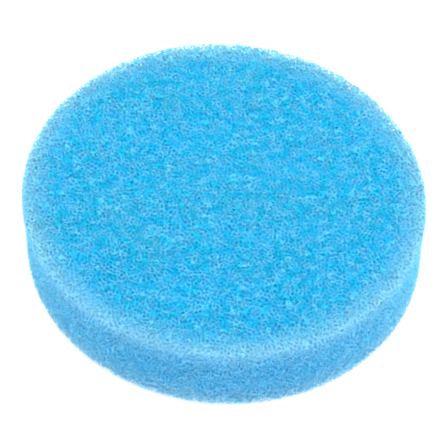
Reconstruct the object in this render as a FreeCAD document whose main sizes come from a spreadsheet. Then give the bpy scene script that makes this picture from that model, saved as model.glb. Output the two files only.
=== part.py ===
# Round sponge filter pad, cut from a sheet of open-cell foam.
#
# The pad is one piece: a straight-sided disc whose two rims are softly
# rounded. It has no core, skin, frame or fastening. Millimetres, +Z up, origin
# at the centre of the underside, +Z along the disc's own axis.

import FreeCAD, Part
import os
import math

import Sketcher
from FreeCAD import Placement, Rotation, Vector

doc = FreeCAD.newDocument("sponge_filter")

# ---------------------------------------------------------------------------
# Driving dimensions, plain numbers in millimetres
# ---------------------------------------------------------------------------
sheet = doc.addObject("Spreadsheet::Sheet", "dims")

DIMENSIONS = [
    # alias, value, what it sets
    ("disc_diameter", "120", "outer diameter of the pad"),
    ("disc_thickness", "25", "thickness of the foam sheet the pad is cut from"),
    ("rim_round", "1.5", "radius of the soft rim, top and bottom"),
]

for row, (alias, value, note) in enumerate(DIMENSIONS, start=1):
    sheet.set("A%d" % row, note)
    sheet.set("B%d" % row, value)
    sheet.setAlias("B%d" % row, alias)
doc.recompute()


def origin_plane(body, role):
    """One of the body's own origin planes, found by its role."""
    for feature in body.Origin.OriginFeatures:
        if feature.Role == role:
            return feature
    raise RuntimeError("the body has no plane called " + role)


# ---------------------------------------------------------------------------
# foam_disc: a circle punched through the full thickness of the sheet
# ---------------------------------------------------------------------------
disc = doc.addObject("PartDesign::Body", "foam_disc")
disc.Label = "foam_disc"

outline = disc.newObject("Sketcher::SketchObject", "disc_outline")
outline.AttachmentSupport = [(origin_plane(disc, "XY_Plane"), "")]
outline.MapMode = "FlatFace"
circle = outline.addGeometry(
    Part.Circle(Vector(0, 0, 0), Vector(0, 0, 1), 50.0), False)
outline.addConstraint(Sketcher.Constraint("Coincident", circle, 3, -1, 1))
size = outline.addConstraint(Sketcher.Constraint("Diameter", circle, 100.0))
outline.renameConstraint(size, "outer_diameter")
outline.setExpression("Constraints.outer_diameter", "dims.disc_diameter")
doc.recompute()

pad = disc.newObject("PartDesign::Pad", "disc_pad")
pad.Profile = outline
pad.Type = 0
pad.Length = 10.0
pad.setExpression("Length", "dims.disc_thickness")
doc.recompute()

# Both rims of the punched disc: the foam springs back from the cutter into a
# small, even round.
rims = ["Edge%d" % number
        for number, edge in enumerate(pad.Shape.Edges, start=1)
        if isinstance(edge.Curve, Part.Circle)]
soft_rims = disc.newObject("PartDesign::Fillet", "soft_rims")
soft_rims.Base = (pad, rims)
soft_rims.Radius = 1.0
soft_rims.setExpression("Radius", "dims.rim_round")
disc.Tip = soft_rims
disc.Placement = Placement(Vector(0, 0, 0), Rotation(Vector(0, 0, 1), 0))
doc.recompute()

# ---------------------------------------------------------------------------
# Checks on the document and on the shape
# ---------------------------------------------------------------------------
for item in doc.Objects:
    if "Invalid" in item.State or "Error" in item.State:
        raise RuntimeError("%s did not recompute: %s" % (item.Name, item.State))

NODES = [disc]
for node in NODES:
    if node.Shape.isNull() or not node.Shape.isValid():
        raise RuntimeError(node.Label + " has no valid shape")
    if len(node.Shape.Solids) != 1:
        raise RuntimeError(node.Label + " is not one solid")

radius = float(sheet.disc_diameter) / 2
height = float(sheet.disc_thickness)
rim = float(sheet.rim_round)
# A cylinder, less the ring that each rounded rim takes away. The ring's section
# is a square corner outside a quarter circle, and corner_centre is how far its
# centroid lies inside the cylinder's wall.
corner_area = rim ** 2 * (1 - math.pi / 4)
corner_centre = (10 - 3 * math.pi) / (12 - 3 * math.pi) * rim
expected = (math.pi * radius ** 2 * height
            - 2 * corner_area * 2 * math.pi * (radius - corner_centre))
print("volume %.1f mm3, cylinder with rounded rims %.1f mm3"
      % (disc.Shape.Volume, expected))
if abs(disc.Shape.Volume - expected) > 0.001 * expected:
    raise RuntimeError("foam_disc has the wrong volume")

# ---------------------------------------------------------------------------
# One STEP file for each node
# ---------------------------------------------------------------------------
os.makedirs("parts", exist_ok=True)
for node in NODES:
    node.Shape.exportStep(os.path.join("parts", node.Label + ".step"))
    box = node.Shape.optimalBoundingBox(False, False)
    print("%s: %.2f x %.2f x %.2f mm" % (node.Label, box.XLength, box.YLength, box.ZLength))
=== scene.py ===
import itertools
import math
import time

import bpy
import numpy as np
from mathutils import Matrix, Vector


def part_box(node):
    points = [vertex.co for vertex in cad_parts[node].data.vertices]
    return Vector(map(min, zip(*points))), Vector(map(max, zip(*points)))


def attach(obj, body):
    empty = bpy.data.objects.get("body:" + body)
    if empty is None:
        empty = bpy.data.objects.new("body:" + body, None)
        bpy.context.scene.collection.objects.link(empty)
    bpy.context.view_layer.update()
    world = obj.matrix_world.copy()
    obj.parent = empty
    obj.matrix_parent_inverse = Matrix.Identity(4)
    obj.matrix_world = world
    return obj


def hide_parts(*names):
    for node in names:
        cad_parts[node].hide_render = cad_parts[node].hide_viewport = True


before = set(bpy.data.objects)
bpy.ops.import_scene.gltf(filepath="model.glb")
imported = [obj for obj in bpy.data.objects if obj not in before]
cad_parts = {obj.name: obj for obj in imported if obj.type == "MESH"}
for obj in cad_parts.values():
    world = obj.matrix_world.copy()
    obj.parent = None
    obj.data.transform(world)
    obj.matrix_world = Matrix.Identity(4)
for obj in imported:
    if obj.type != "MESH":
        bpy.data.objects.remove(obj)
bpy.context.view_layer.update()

STARTED = time.time()

# ---------------------------------------------------------------------------
# The pad's place and size, from the frame. Foam sizes are in millimetres.
# ---------------------------------------------------------------------------
LOW, HIGH = (np.array(corner, float) * 1000 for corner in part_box("foam_disc"))
RADIUS = (HIGH[0] - LOW[0]) / 2
HEIGHT = HIGH[2] - LOW[2]
CENTRE = (LOW + HIGH) / 2
RIM = 1.5               # radius of the soft rims
WAIST = 0.35            # how far the cut wall is drawn in at half its height
LEAN = 0.5              # how far the cut leans over from half height to a face

CELL_VOLUME = 1.7       # of one foam cell, mm3
TILE_CELLS = 1000       # cells in the block of foam that repeats
STRUT = 0.090           # from a strut's centreline to one of its three corners
SHELL = 1.9             # how deep the core lies below the faces and the wall
CORE_EDGE = 3.0         # radius of the core's two rims
SEED = 20


# ---------------------------------------------------------------------------
# Foam: a block of relaxed cells that repeats in all three directions
# ---------------------------------------------------------------------------
def relaxed_seeds(count, side, rng, steps=50):
    """Cell centres that push each other apart until the cells are even."""
    p = rng.random((count, 3)) * side
    rest = 1.02 * (2 ** 0.5 * side ** 3 / count) ** (1 / 3)
    p = p.astype(np.float32)
    for _ in range(steps):
        d = p[:, None] - p[None]
        d -= side * np.round(d / side)
        r = np.sqrt((d ** 2).sum(-1)) + 1e-9
        np.fill_diagonal(r, 1e9)
        p = (p + 0.35 * ((np.clip(rest - r, 0, None) / r)[..., None] * d).sum(1)) % side
    return p.astype(float)


def junctions(p, side, nearest=28):
    """Every point where four cells meet: their seeds, each seed's repeat, and
    the point. The first seed has the lowest number, and its repeat is 0."""
    d = p[None] - p[:, None]
    shift = -np.round(d / side).astype(int)
    d = d + side * shift
    r = (d ** 2).sum(-1)
    np.fill_diagonal(r, 1e9)
    near = np.argsort(r, 1, kind="stable")[:, :nearest]
    rows = np.arange(len(p))[:, None]
    q, s = d[rows, near], shift[rows, near]
    half = (q ** 2).sum(-1) / 2
    trios = np.array(list(itertools.combinations(range(nearest), 3)))
    seeds, repeats, points = [], [], []
    for start in range(0, len(p), 40):
        qi, hi = q[start:start + 40], half[start:start + 40]
        a, b, c = (qi[:, trios[:, k]] for k in range(3))
        ha, hb, hc = (hi[:, trios[:, k], None] for k in range(3))
        bc = np.cross(b, c)
        det = (a * bc).sum(-1)
        det[np.abs(det) < 1e-9] = np.inf
        x = (ha * bc + hb * np.cross(c, a) + hc * np.cross(a, b)) / det[..., None]
        empty = (np.einsum("imx,ikx->imk", x, qi) <= hi[:, None, :] + 1e-7).all(-1)
        empty &= np.isfinite(det)
        i, m = np.nonzero(empty)
        own = i + start
        others = near[own[:, None], trios[m]]
        first = (others > own[:, None]).all(1)
        i, m, own, others = i[first], m[first], own[first], others[first]
        order = np.argsort(others, 1)
        moved = s[own[:, None], trios[m]]
        moved = np.take_along_axis(moved, order[..., None], 1)
        others = np.take_along_axis(others, order, 1)
        seeds.append(np.c_[own, others])
        repeats.append(np.concatenate([np.zeros((len(own), 1, 3), int), moved], 1))
        points.append(x[i, m] + p[own])
    return np.concatenate(seeds), np.concatenate(repeats), np.concatenate(points)


# A junction's four members are 0 to 3. Window (a, b) is the opening between the
# cells a and b, and strut m runs between the three cells other than m.
WINDOWS = list(itertools.combinations(range(4), 2))
WINDOW_OF = np.zeros((4, 4), int)
for number, (a, b) in enumerate(WINDOWS):
    WINDOW_OF[a, b] = WINDOW_OF[b, a] = number
EVEN = np.array([(0, 1, 2, 3), (1, 0, 3, 2), (2, 0, 1, 3), (3, 0, 2, 1)])


def foam_tile(rng):
    side = (TILE_CELLS * CELL_VOLUME) ** (1 / 3)
    p = relaxed_seeds(TILE_CELLS, side, rng)
    seeds, repeats, points = junctions(p, side)
    count = len(seeds)

    # struts: the two junctions that share three cells
    partner = np.full((count, 4), -1)
    partner_shift = np.zeros((count, 4, 3), int)
    partner_member = np.zeros((count, 4, 4), int)
    waiting = {}
    for m in range(4):
        rest = [k for k in range(4) if k != m]
        base = repeats[:, rest[0]]
        key = np.concatenate([
            seeds[:, rest], repeats[:, rest[1]] - base, repeats[:, rest[2]] - base], 1)
        for n, k in enumerate(map(tuple, key)):
            found = waiting.pop(k, None)
            if found is None:
                waiting[k] = (n, m, tuple(base[n]))
                continue
            other, om, obase = found
            orest = [k for k in range(4) if k != om]
            partner[n, m], partner[other, om] = other, n
            step = np.array(base[n]) - np.array(obase)
            partner_shift[n, m], partner_shift[other, om] = step, -step
            for a, b in zip(rest, orest):
                partner_member[n, m, a] = b
                partner_member[other, om, b] = a
    if waiting:
        print("unmatched struts:", len(waiting))
    whole = (partner >= 0).all(1)

    # even the strut lengths out a little, as surface tension does
    for _ in range(2):
        ends = points[partner] + side * partner_shift
        points = points + 0.35 * (ends.mean(1) - points)

    # which way round each junction's cells go
    spot = p[seeds] + side * repeats
    det = np.einsum("nx,nx->n", spot[:, 1] - spot[:, 0],
                    np.cross(spot[:, 2] - spot[:, 0], spot[:, 3] - spot[:, 0]))
    flip = det > 0
    trios = np.broadcast_to(EVEN[None, :, 1:], (count, 4, 3)).copy()
    trios[flip] = trios[flip][:, :, ::-1]
    pair = np.stack([trios, np.roll(trios, -1, 2)], -1)             # n, m, 3, 2
    near_windows = WINDOW_OF[pair[..., 0], pair[..., 1]]
    there = np.take_along_axis(
        partner_member, pair.reshape(count, 4, 6), 2).reshape(pair.shape)
    far_windows = WINDOW_OF[there[..., 0], there[..., 1]]
    # the triangle that faces each cell at a junction
    cells = np.arange(4)[None, :, None]
    patches = WINDOW_OF[cells, trios]                               # n, 4, 3

    # where each window's edge runs: along the bisector of its two struts
    way = points[partner] + side * partner_shift - points[:, None]
    length = np.linalg.norm(way, axis=-1)
    unit = way / np.maximum(length, 1e-9)[..., None]
    inward = np.zeros((count, 6, 3))
    window_key = np.zeros((count, 6), int)
    names = {}
    for w, (a, b) in enumerate(WINDOWS):
        r, s = (k for k in range(4) if k not in (a, b))
        bisector = unit[:, r] + unit[:, s]
        size = np.maximum(np.linalg.norm(bisector, axis=-1), 0.15)
        half_sine = np.sqrt(np.clip((1 - (unit[:, r] * unit[:, s]).sum(-1)) / 2, 0.08, 1))
        inward[:, w] = bisector / (size * half_sine)[:, None]
        base = repeats[:, a]
        key = np.c_[seeds[:, a], seeds[:, b], repeats[:, b] - base]
        for n, k in enumerate(map(tuple, key)):
            window_key[n, w] = names.setdefault(k, len(names))
    place = points[:, None] - side * repeats[:, [a for a, b in WINDOWS]]
    total = np.zeros((len(names), 3))
    np.add.at(total, window_key, place)
    middle = total / np.bincount(window_key.ravel(), minlength=len(names))[:, None]
    centre = middle[window_key] - place                              # from the junction
    return dict(side=side, points=points, partner=partner, shift=partner_shift,
                near=near_windows, far=far_windows, patches=patches, inward=inward,
                centre=centre, window=window_key, windows=len(names), whole=whole)


# ---------------------------------------------------------------------------
# The disc that the cutter leaves, as a distance: below 0 inside it
# ---------------------------------------------------------------------------
def disc_distance(p, rim=RIM, radius=None, half=None, middle=None):
    radius = RADIUS if radius is None else radius
    half = HEIGHT / 2 if half is None else half
    middle = CENTRE if middle is None else middle
    across = np.hypot(p[..., 0] - middle[0], p[..., 1] - middle[1]) - (radius - rim)
    up = np.abs(p[..., 2] - middle[2]) - (half - rim)
    outside = np.hypot(np.maximum(across, 0), np.maximum(up, 0))
    return outside + np.minimum(np.maximum(across, up), 0) - rim


def cut_flat(p):
    """Points that stand out of the pad, drawn back to just over its surface."""
    out = p - CENTRE
    r, h = np.hypot(out[:, 0], out[:, 1]), out[:, 2]
    inner_r = np.minimum(r, RADIUS - RIM)
    inner_h = np.clip(h, RIM - HEIGHT / 2, HEIGHT / 2 - RIM)
    away = np.hypot(r - inner_r, h - inner_h)
    over = np.maximum(away - RIM, 0)
    kept = np.where(over > 0, (RIM + 0.12 * (1 - np.exp(-over / 0.12))) / np.maximum(away, 1e-9), 1)
    new_r = inner_r + (r - inner_r) * kept
    new_h = inner_h + (h - inner_h) * kept
    return CENTRE + np.c_[out[:, :2] * (new_r / np.maximum(r, 1e-9))[:, None], new_h]


def near_rim(p, reach):
    """1 at either rim, down to 0 where p is further than reach from both."""
    inset = RADIUS - np.hypot(p[..., 0] - CENTRE[0], p[..., 1] - CENTRE[1])
    face = HEIGHT / 2 - np.abs(p[..., 2] - CENTRE[2])
    return np.clip(1 - np.hypot(np.maximum(inset, 0), np.maximum(face, 0)) / reach, 0, 1)


def near_wall(p, reach):
    inset = RADIUS - np.hypot(p[..., 0] - CENTRE[0], p[..., 1] - CENTRE[1])
    return np.exp(-np.maximum(inset, 0) / reach)


def as_cut(p):
    """Foam gives under the cutter and springs back, so that the cut wall is a
    little narrower at half its height and leans over a little."""
    up = np.clip((p[:, 2] - CENTRE[2]) / (HEIGHT / 2), -1, 1)
    ring = 1 - WAIST / RADIUS * (1 - up ** 2)
    across = CENTRE[:2] + (p[:, :2] - CENTRE[:2]) * ring[:, None]
    return np.c_[across[:, 0] - LEAN * up, across[:, 1], p[:, 2]]


def seeded(number):
    return np.random.default_rng(SEED + number)


def waves(p, rng, lengths, count):
    """A smooth field of about -1 to 1, made of a few plane waves."""
    total = 0
    for _ in range(count):
        way = rng.normal(size=3)
        way *= 2 * math.pi / (rng.uniform(*lengths) * np.linalg.norm(way))
        total = total + np.sin(p @ way + rng.uniform(0, 2 * math.pi))
    return total / math.sqrt(count / 2) / 1.6


def turned(rng):
    q = rng.normal(size=4)
    w, x, y, z = q / np.linalg.norm(q)
    return np.array([
        [1 - 2 * (y * y + z * z), 2 * (x * y - z * w), 2 * (x * z + y * w)],
        [2 * (x * y + z * w), 1 - 2 * (x * x + z * z), 2 * (y * z - x * w)],
        [2 * (x * z - y * w), 2 * (y * z + x * w), 1 - 2 * (x * x + y * y)]])


def core_distance(p):
    return disc_distance(p, CORE_EDGE, RADIUS - SHELL, HEIGHT / 2 - SHELL)


def foam_network():
    """The junctions between the pad's surface and its core, and what each joins."""
    rng = np.random.default_rng(SEED)
    tile = foam_tile(rng)
    side, turn = tile["side"], turned(rng)
    count = len(tile["points"])
    print("tile %.1f s, %d junctions" % (time.time() - STARTED, count))

    # the repeats of the block that reach the disc
    reach = math.hypot(RADIUS, HEIGHT / 2) + 2
    span = int(math.ceil(reach / side)) + 1
    grid = np.array(list(itertools.product(range(-span, span + 1), repeat=3)))
    middle = (grid + 0.5) * side @ turn.T + CENTRE
    near = disc_distance(middle) < side * 0.5 * 3 ** 0.5 + 1.5
    near &= disc_distance(middle) > -(SHELL + side * 0.5 * 3 ** 0.5 + 3)
    grid = grid[near]
    table = -np.ones((2 * span + 3,) * 3, int)
    table[tuple((grid + span + 1).T)] = np.arange(len(grid))

    local = (tile["points"][None] + side * grid[:, None]).reshape(-1, 3)
    place = local @ turn.T + CENTRE
    warp = seeded(1)
    bend = np.stack([waves(place, warp, (14, 34), 7) for _ in range(3)], -1)
    ripple = np.stack([waves(place, warp, (6, 11), 10) for _ in range(3)], -1)
    place = place + 0.45 * bend + 0.22 * ripple
    depth = -disc_distance(place)

    whole = np.tile(tile["whole"], len(grid))
    kept = (depth > 0) & (core_distance(place) > -0.15) & whole
    ids = np.nonzero(kept)[0]

    block, inner = np.divmod(ids, count)
    cell = grid[block][:, None] + tile["shift"][inner]               # k, 4, 3
    there = table[tuple(np.moveaxis(cell + span + 1, -1, 0))]
    if (there < 0).any():
        print("struts that leave the blocks:", int((there < 0).sum()))
    far = there * count + tile["partner"][inner]                     # k, 4
    return tile, turn, place, depth, ids, inner, far, there >= 0


def corner_points(tile, turn, place, nodes, chance):
    """The six window corners of each junction."""
    inner = nodes % len(tile["points"])
    thick = STRUT * (1 + 0.16 * waves(place[nodes], seeded(3), (2.4, 7), 14))
    thick = thick * (1 + 0.15 * near_rim(place[nodes], 2.5))
    way = tile["inward"][inner] @ turn.T
    centre = tile["centre"][inner] @ turn.T
    room = np.linalg.norm(centre, axis=-1)
    size = np.linalg.norm(way, axis=-1)
    step = np.minimum(size * thick[:, None], 0.72 * room)
    out = way / size[..., None] * step[..., None]
    # some windows keep part of their skin, more in some places than in others,
    # and the cutter presses more of them shut at the rims
    patchy = waves(place[nodes][:, None] + centre, seeded(4), (2.4, 7), 14)
    limit = 0.17 * np.exp(0.9 * patchy) + 0.3 * near_rim(place[nodes], 2.5)[:, None]
    draw = chance[tile["window"][inner]]
    shut = np.clip((limit - draw) / (0.7 * limit), 0, 1)
    # but a window that the cutter went through keeps none
    shut *= np.clip(-disc_distance(place[nodes][:, None] + centre) / 0.35, 0, 1)
    shut = shut[..., None]
    out = out * (1 - shut) + shut * 0.93 * centre
    return place[nodes][:, None] + out


# ---------------------------------------------------------------------------
# Pieces: the network is cut into blocks, through the middle of the struts that
# cross from one block to the next
# ---------------------------------------------------------------------------
def block_of(p):
    """Which block a junction belongs to: top, wall or under, and its sector."""
    angle = np.arctan2(p[:, 1] - CENTRE[1], p[:, 0] - CENTRE[0]) % (2 * math.pi)
    inset = RADIUS - np.hypot(p[:, 0] - CENTRE[0], p[:, 1] - CENTRE[1])
    from_top, from_under = HIGH[2] - p[:, 2], p[:, 2] - LOW[2]
    block = np.full(len(p), -1)
    start = 0
    for name, sectors, rule in ZONES:
        here = (block < 0) & rule(inset, from_top, from_under)
        block[here] = start + (angle[here] / (2 * math.pi) * sectors).astype(int) % sectors
        start += sectors
    return block


ZONES = [
    ("top", 9, lambda inset, top, under: top < SHELL + 0.4),
    ("under", 9, lambda inset, top, under: under < SHELL + 0.4),
    ("wall", 7, lambda inset, top, under: inset < 1e9),
]


def block_names():
    return ["foam_%s_%d" % (name, k + 1) for name, sectors, _ in ZONES for k in range(sectors)]


def foam_mesh():
    tile, turn, place, depth, ids, inner, far, known = foam_network()
    print("network %.1f s, %d junctions kept" % (time.time() - STARTED, len(ids)))
    count = len(ids)
    rank = np.full(len(place), -1)
    rank[ids] = np.arange(count)

    look = seeded(2)
    chance = look.random(tile["windows"])
    beyond = np.setdiff1d(np.unique(far[known]), ids)
    corners = corner_points(tile, turn, place, ids, chance)
    corners_beyond = corner_points(tile, turn, place, beyond, chance)
    rank_beyond = np.full(len(place), -1)
    rank_beyond[beyond] = np.arange(len(beyond))
    print("corners %.1f s" % (time.time() - STARTED))

    block = block_of(place[ids])
    points = [corners.reshape(-1, 3)]
    total = count * 6
    faces3, faces4, block3, block4 = [], [], [], []

    patches = tile["patches"][inner]                                  # k, 4, 3
    faces3.append((np.arange(count)[:, None, None] * 6 + patches).reshape(-1, 3))
    block3.append(np.repeat(block, 4))

    a_rank, m = np.nonzero(known)
    b_id = far[a_rank, m]
    b_rank = rank[b_id]
    near_w = tile["near"][inner[a_rank], m]                          # e, 3
    far_w = tile["far"][inner[a_rank], m]
    a_ends = a_rank[:, None] * 6 + near_w

    def strips(a, b, owner):
        """Three quads along a strut, from corners a to corners b."""
        for one, two in ((0, 2), (1, 0), (2, 1)):
            faces4.append(np.stack([a[:, one], a[:, two], b[:, two], b[:, one]], 1))
            block4.append(owner)

    # both ends in one block
    both = (b_rank >= 0) & (ids[a_rank] < b_id)
    same = both & (block[a_rank] == block[np.maximum(b_rank, 0)])
    strips(a_ends[same], b_rank[same, None] * 6 + far_w[same], block[a_rank[same]])

    # the ends in two blocks: cut in the middle, with a cap on each side
    cross = both & ~same
    b_ends = b_rank[cross, None] * 6 + far_w[cross]
    half = (points[0][a_ends[cross]] + points[0][b_ends]) / 2
    new = total + np.arange(len(half) * 3).reshape(-1, 3)
    points.append(half.reshape(-1, 3))
    total += len(half) * 3
    owner_a, owner_b = block[a_rank[cross]], block[b_rank[cross]]
    strips(a_ends[cross], new, owner_a)
    faces3.append(new[:, [0, 2, 1]])
    block3.append(owner_a)
    strips(b_ends[:, [0, 2, 1]], new[:, [0, 2, 1]], owner_b)
    faces3.append(new)
    block3.append(owner_b)

    # struts that the cutter went through, or that run on into the core
    loose = b_rank < 0
    a, b = a_rank[loose], b_id[loose]
    d_a, d_b = depth[ids[a]], depth[b]
    cut = np.where(d_b <= 0, d_a / np.maximum(d_a - d_b, 1e-6), 1.0)
    ragged = look.uniform(0.86, 1.06, len(cut))
    cut = np.where(d_b <= 0, np.clip(cut * ragged, 0.06, 1.0), 1.0)[:, None, None]
    start = points[0][a_ends[loose]]
    end = corners_beyond[rank_beyond[b][:, None], far_w[loose]]
    tip = start + cut * (end - start)
    new = total + np.arange(len(tip) * 3).reshape(-1, 3)
    points.append(tip.reshape(-1, 3))
    total += len(tip) * 3
    owner = block[a]
    strips(a_ends[loose], new, owner)
    faces3.append(new[:, [0, 2, 1]])
    block3.append(owner)

    return (cut_flat(np.concatenate(points)), np.concatenate(faces3), np.concatenate(block3),
            np.concatenate(faces4), np.concatenate(block4))


def new_mesh(name, points, triangles, quads):
    """A mesh from arrays of points in millimetres."""
    mesh = bpy.data.meshes.new(name)
    mesh.vertices.add(len(points))
    mesh.vertices.foreach_set("co", (points / 1000).astype(np.float32).ravel())
    corners = np.concatenate([triangles.ravel(), quads.ravel()]).astype(np.int32)
    mesh.loops.add(len(corners))
    mesh.loops.foreach_set("vertex_index", corners)
    starts = np.concatenate([
        np.arange(len(triangles)) * 3, len(triangles) * 3 + np.arange(len(quads)) * 4])
    mesh.polygons.add(len(starts))
    mesh.polygons.foreach_set("loop_start", starts.astype(np.int32))
    mesh.update(calc_edges=True)
    mesh.shade_smooth()
    return mesh


def add_piece(name, mesh, material):
    piece = bpy.data.objects.new(name, mesh)
    bpy.context.collection.objects.link(piece)
    mesh.materials.append(material)
    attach(piece, "root")
    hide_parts("foam_disc")
    return piece


def point_value(mesh, name, values):
    layer = mesh.attributes.new(name, "FLOAT", "POINT")
    layer.data.foreach_set("value", values.astype(np.float32))


# ---------------------------------------------------------------------------
# Core: the foam below the modelled network, as a closed pitted body
# ---------------------------------------------------------------------------
def core_mesh(gap, edge, count=126):
    """A rounded disc, gap inside the pad, from six square grids."""
    t = np.tan((np.arange(count + 1) / count - 0.5) * math.pi / 2)
    u, v = np.meshgrid(t, t, indexing="ij")
    one = np.ones_like(u)
    sides = [(one, u, v), (-one, -u, v), (-u, one, v), (u, -one, v), (-v, u, one), (v, u, -one)]
    points = np.concatenate([np.stack(s, -1).reshape(-1, 3) for s in sides])
    index = np.arange((count + 1) ** 2).reshape(count + 1, count + 1)
    face = np.stack([index[:-1, :-1], index[1:, :-1], index[1:, 1:], index[:-1, 1:]], -1)
    face = face.reshape(-1, 4)
    quads = np.concatenate([face + k * (count + 1) ** 2 for k in range(6)])
    points /= np.linalg.norm(points, axis=1)[:, None]
    # weld the grids' shared borders
    key = np.round(points * 1e5).astype(np.int64)
    _, first, back = np.unique(key, axis=0, return_index=True, return_inverse=True)
    points, quads = points[first], back.ravel()[quads]

    # even areas: how far down the profile from the top's centre each point goes
    radius, half = RADIUS - gap, HEIGHT / 2 - gap
    arc = edge * math.pi / 2
    flat, side = radius - edge, 2 * (half - edge)
    s = np.linspace(0, 2 * flat + 2 * arc + side, 4001)
    first_arc = np.clip(s - flat, 0, arc) / edge
    second_arc = np.clip(s - flat - arc - side, 0, arc) / edge
    r = (np.minimum(s, flat) + edge * np.sin(first_arc)
         - edge * (1 - np.cos(second_arc)) - np.maximum(s - flat - 2 * arc - side, 0))
    z = (half - edge * (1 - np.cos(first_arc)) - np.clip(s - flat - arc, 0, side)
         - edge * np.sin(second_arc))
    area = np.concatenate([[0], np.cumsum((r[1:] + r[:-1]) / 2 * np.diff(s))])
    share = (1 - points[:, 2]) / 2
    at = np.interp(share, area / area[-1], s)
    away = points[:, :2] / np.maximum(np.linalg.norm(points[:, :2], axis=1), 1e-9)[:, None]
    ring = np.interp(at, s, np.maximum(r, 0))
    out = np.c_[away * ring[:, None], np.interp(at, s, z)] + CENTRE
    slope_r, slope_z = np.gradient(r, s), np.gradient(z, s)
    n_r, n_z = -np.interp(at, s, slope_z), np.interp(at, s, slope_r)
    normal = np.c_[away * n_r[:, None], n_z]
    normal /= np.linalg.norm(normal, axis=1)[:, None]
    return out, normal, quads


def pits(points, normal, rng):
    """How deep each point of the core lies in a cell, from 0 at a cell's edge."""
    from mathutils.kdtree import KDTree
    pitch = (CELL_VOLUME * 1.0) ** (1 / 3)
    spots = points[rng.permutation(len(points))[:int(len(points) / 3.2)]]
    chosen = KDTree(len(spots))
    for k, spot in enumerate(spots):
        chosen.insert(spot, k)
    chosen.balance()
    alive = np.ones(len(spots), bool)
    keep = []
    for k, spot in enumerate(spots):
        if not alive[k]:
            continue
        keep.append(k)
        for _, other, _ in chosen.find_range(spot, pitch * 0.95):
            alive[other] = False
    seeds = KDTree(len(keep))
    for k, spot in enumerate(keep):
        seeds.insert(spots[spot], k)
    seeds.balance()
    two = np.array([[hit[2] for hit in seeds.find_n(point, 2)] for point in points])
    return np.clip((two[:, 1] - two[:, 0]) / pitch, 0, 0.9)


# ---------------------------------------------------------------------------
# Materials
# ---------------------------------------------------------------------------
def new_material(name):
    material = bpy.data.materials.new(name)
    material.use_nodes = True
    tree = material.node_tree
    return material, tree, tree.nodes["Principled BSDF"]


def node(tree, kind, **values):
    made = tree.nodes.new(kind)
    for key, value in values.items():
        setattr(made, key, value)
    return made


def ramp(tree, stops):
    made = tree.nodes.new("ShaderNodeValToRGB")
    elements = made.color_ramp.elements
    while len(elements) < len(stops):
        elements.new(0.5)
    for element, (position, colour) in zip(elements, stops):
        element.position = position
        element.color = (*colour, 1)
    return made


def mixed(tree, factor, one, two):
    made = tree.nodes.new("ShaderNodeMix")
    made.data_type = "RGBA"
    tree.links.new(factor, made.inputs["Factor"])
    for socket, value in (("A", one), ("B", two)):
        place = next(i for i in made.inputs if i.name == socket and i.type == "RGBA")
        if hasattr(value, "links"):
            tree.links.new(value, place)
        else:
            place.default_value = (*value, 1)
    return next(o for o in made.outputs if o.type == "RGBA")


def strut_material():
    """Blue, slightly glossy foam. Deep in the pad the light has been through many struts, so
    the deeper struts are painted a darker, purer blue: painted shade in the pores. Near the
    rims the struts are painted paler: painted light, for the light that gets through the thin
    rims. On the cut wall they are painted a little greyer: painted shade on the side wall."""
    material, tree, shader = new_material("blue_foam_struts")
    link = tree.links.new
    where = node(tree, "ShaderNodeTexCoord")
    blotch = node(tree, "ShaderNodeTexNoise")
    blotch.inputs["Scale"].default_value = 330
    blotch.inputs["Detail"].default_value = 0
    link(where.outputs["Object"], blotch.inputs["Vector"])
    colours = ramp(tree, [(0.38, (0.003, 0.60, 0.99)), (0.62, (0.115, 0.65, 1.0))])
    link(blotch.outputs["Fac"], colours.inputs["Fac"])
    # painted shade: deeper struts are painted this darker, purer blue, the shade in the pores
    pore_shade_colours = ramp(tree, [(0.38, (0.001, 0.47, 0.84)), (0.62, (0.020, 0.49, 0.86))])
    link(blotch.outputs["Fac"], pore_shade_colours.inputs["Fac"])
    depth = node(tree, "ShaderNodeAttribute", attribute_name="depth")
    pore_shade_amount = node(tree, "ShaderNodeMapRange")
    pore_shade_amount.inputs["From Min"].default_value = 0.1
    pore_shade_amount.inputs["From Max"].default_value = 1.3
    link(depth.outputs["Fac"], pore_shade_amount.inputs["Value"])
    colour = mixed(tree, pore_shade_amount.outputs["Result"], colours.outputs["Color"], pore_shade_colours.outputs["Color"])
    # painted light: near the rims the struts are painted paler, for the light that gets through the
    # thin rims
    rim = node(tree, "ShaderNodeAttribute", attribute_name="rim")
    colour = mixed(tree, rim.outputs["Fac"], colour, (0.42, 0.79, 1.0))
    # painted shade: struts near the cut wall are painted greyer and darker, the shade on the side
    # wall
    wall = node(tree, "ShaderNodeAttribute", attribute_name="wall")
    colour = mixed(tree, wall.outputs["Fac"], colour, (0.14, 0.43, 0.84))
    link(colour, shader.inputs["Base Color"])
    rough = node(tree, "ShaderNodeMapRange")
    rough.inputs["To Min"].default_value = 0.55
    rough.inputs["To Max"].default_value = 0.75
    link(blotch.outputs["Fac"], rough.inputs["Value"])
    link(rough.outputs["Result"], shader.inputs["Roughness"])
    shader.inputs["Subsurface Weight"].default_value = 1.0
    shader.inputs["Subsurface Scale"].default_value = 0.0004
    shader.inputs["Subsurface Radius"].default_value = (0.6, 0.9, 1.0)
    return material


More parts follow.
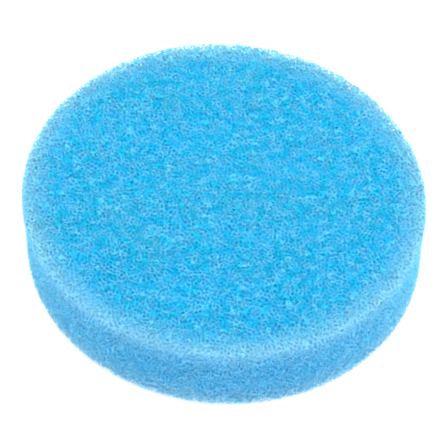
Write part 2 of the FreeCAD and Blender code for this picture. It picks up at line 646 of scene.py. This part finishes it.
def core_material():
    material, tree, shader = new_material("blue_foam_core")
    link = tree.links.new
    pit = node(tree, "ShaderNodeAttribute", attribute_name="pit")
    # painted shade: the core is painted a dark blue for the shade in the pores, darker still deep
    # in its pits
    colours = ramp(tree, [(0.0, (0.016, 0.54, 0.93)), (0.75, (0.006, 0.47, 0.85))])
    link(pit.outputs["Fac"], colours.inputs["Fac"])
    # painted light: near the rims the core is painted paler, lightening the shade in the pores
    # there
    rim = node(tree, "ShaderNodeAttribute", attribute_name="rim")
    colour = mixed(tree, rim.outputs["Fac"], colours.outputs["Color"], (0.34, 0.84, 1.0))
    link(colour, shader.inputs["Base Color"])
    shader.inputs["Roughness"].default_value = 0.8
    shader.inputs["Specular IOR Level"].default_value = 0.0
    return material


struts, deep = strut_material(), core_material()
points, triangles, block3, quads, block4 = foam_mesh()
print("foam %.1f s: %d points, %d triangles when split"
      % (time.time() - STARTED, len(points), len(triangles) + 2 * len(quads)))
names = block_names()
order3, order4 = np.argsort(block3, kind="stable"), np.argsort(block4, kind="stable")
cut3 = np.searchsorted(block3[order3], np.arange(len(names) + 1))
cut4 = np.searchsorted(block4[order4], np.arange(len(names) + 1))
for k, name in enumerate(names):
    t = triangles[order3[cut3[k]:cut3[k + 1]]]
    q = quads[order4[cut4[k]:cut4[k + 1]]]
    used = np.zeros(len(points), bool)
    used[t.ravel()] = True
    used[q.ravel()] = True
    fresh = np.cumsum(used) - 1
    p = points[used]
    mesh = new_mesh(name, as_cut(p), fresh[t], fresh[q])
    point_value(mesh, "depth", np.clip(-disc_distance(p), 0, 10))
    # painted light: the rim attribute paints the struts paler near the rims, more so deeper in,
    # where it lightens the shade in the pores
    rim = np.clip(0.45 - 0.5 * disc_distance(p), 0, 1)
    point_value(mesh, "rim", rim * near_rim(p, 10) ** 1.5)
    # painted shade: the wall attribute paints the struts greyer and darker near the cut wall
    point_value(mesh, "wall", 0.66 * near_wall(p, 1.3))
    add_piece(name, mesh, struts)
    print(name, len(t) + 2 * len(q))

p, normal, q = core_mesh(SHELL, CORE_EDGE)
pit = pits(p, normal, seeded(5))
mesh = new_mesh("foam_core", as_cut(p - normal * (0.75 * pit)[:, None]),
                np.zeros((0, 3), int), q)
point_value(mesh, "pit", pit)
# painted light: the rim attribute paints the core paler near the rims
point_value(mesh, "rim", near_rim(p, 10) ** 1.7)
add_piece("foam_core", mesh, deep)
print("meshes %.1f s" % (time.time() - STARTED))

# ---------------------------------------------------------------------------
# Floor, light and camera
# ---------------------------------------------------------------------------
floor_mesh = bpy.data.meshes.new("floor")
floor_mesh.from_pydata([(-3, -3, 0), (3, -3, 0), (3, 3, 0), (-3, 3, 0)], [], [(0, 1, 2, 3)])
floor = bpy.data.objects.new("floor", floor_mesh)
bpy.context.collection.objects.link(floor)
floor.location.z = LOW[2] / 1000 - 0.0003
white, _, shader = new_material("floor_white")
shader.inputs["Base Color"].default_value = (0.76, 0.76, 0.76, 1)
shader.inputs["Roughness"].default_value = 0.9
shader.inputs["Emission Color"].default_value = (1, 1, 1, 1)
shader.inputs["Emission Strength"].default_value = 0.35
floor_mesh.materials.append(white)

world = bpy.data.worlds.new("studio")
bpy.context.scene.world = world
world.use_nodes = True
world.node_tree.nodes["Background"].inputs["Color"].default_value = (1, 1, 1, 1)
world.node_tree.nodes["Background"].inputs["Strength"].default_value = 1.3


def area_light(name, place, target, size, power):
    data = bpy.data.lights.new(name, "AREA")
    data.shape = "DISK"
    data.size = size
    data.energy = power
    lamp = bpy.data.objects.new(name, data)
    lamp.location = place
    lamp.rotation_euler = (Vector(target) - Vector(place)).to_track_quat("-Z", "Y").to_euler()
    bpy.context.collection.objects.link(lamp)
    return lamp


middle = Vector([float(x) / 1000 for x in CENTRE])
area_light("soft_top", (0.25, 0.1, 1.1), middle, 1.2, 9)
area_light("soft_front", (0.1, -1.0, 0.45), middle, 0.9, 1.9)

camera_data = bpy.data.cameras.new("camera")
camera_data.sensor_width = 36
camera_data.lens = 155.5
camera_data.clip_start = 0.01
camera = bpy.data.objects.new("camera", camera_data)
bpy.context.collection.objects.link(camera)
raised, roll, distance = math.radians(51.5), math.radians(3.95), 0.581
back = Vector((0, -math.cos(raised), math.sin(raised)))
right = Vector((1, 0, 0))
up = back.cross(right)
turn_back = Matrix((right, up, back)).transposed() @ Matrix.Rotation(roll, 3, "Z")
camera.matrix_world = Matrix.Translation(
    middle + back * distance - up * 0.0027) @ turn_back.to_4x4()
bpy.context.scene.camera = camera

bpy.context.scene.view_settings.view_transform = "Standard"
bpy.context.scene.cycles.diffuse_bounces = 12
bpy.context.scene.cycles.filter_width = 2.2
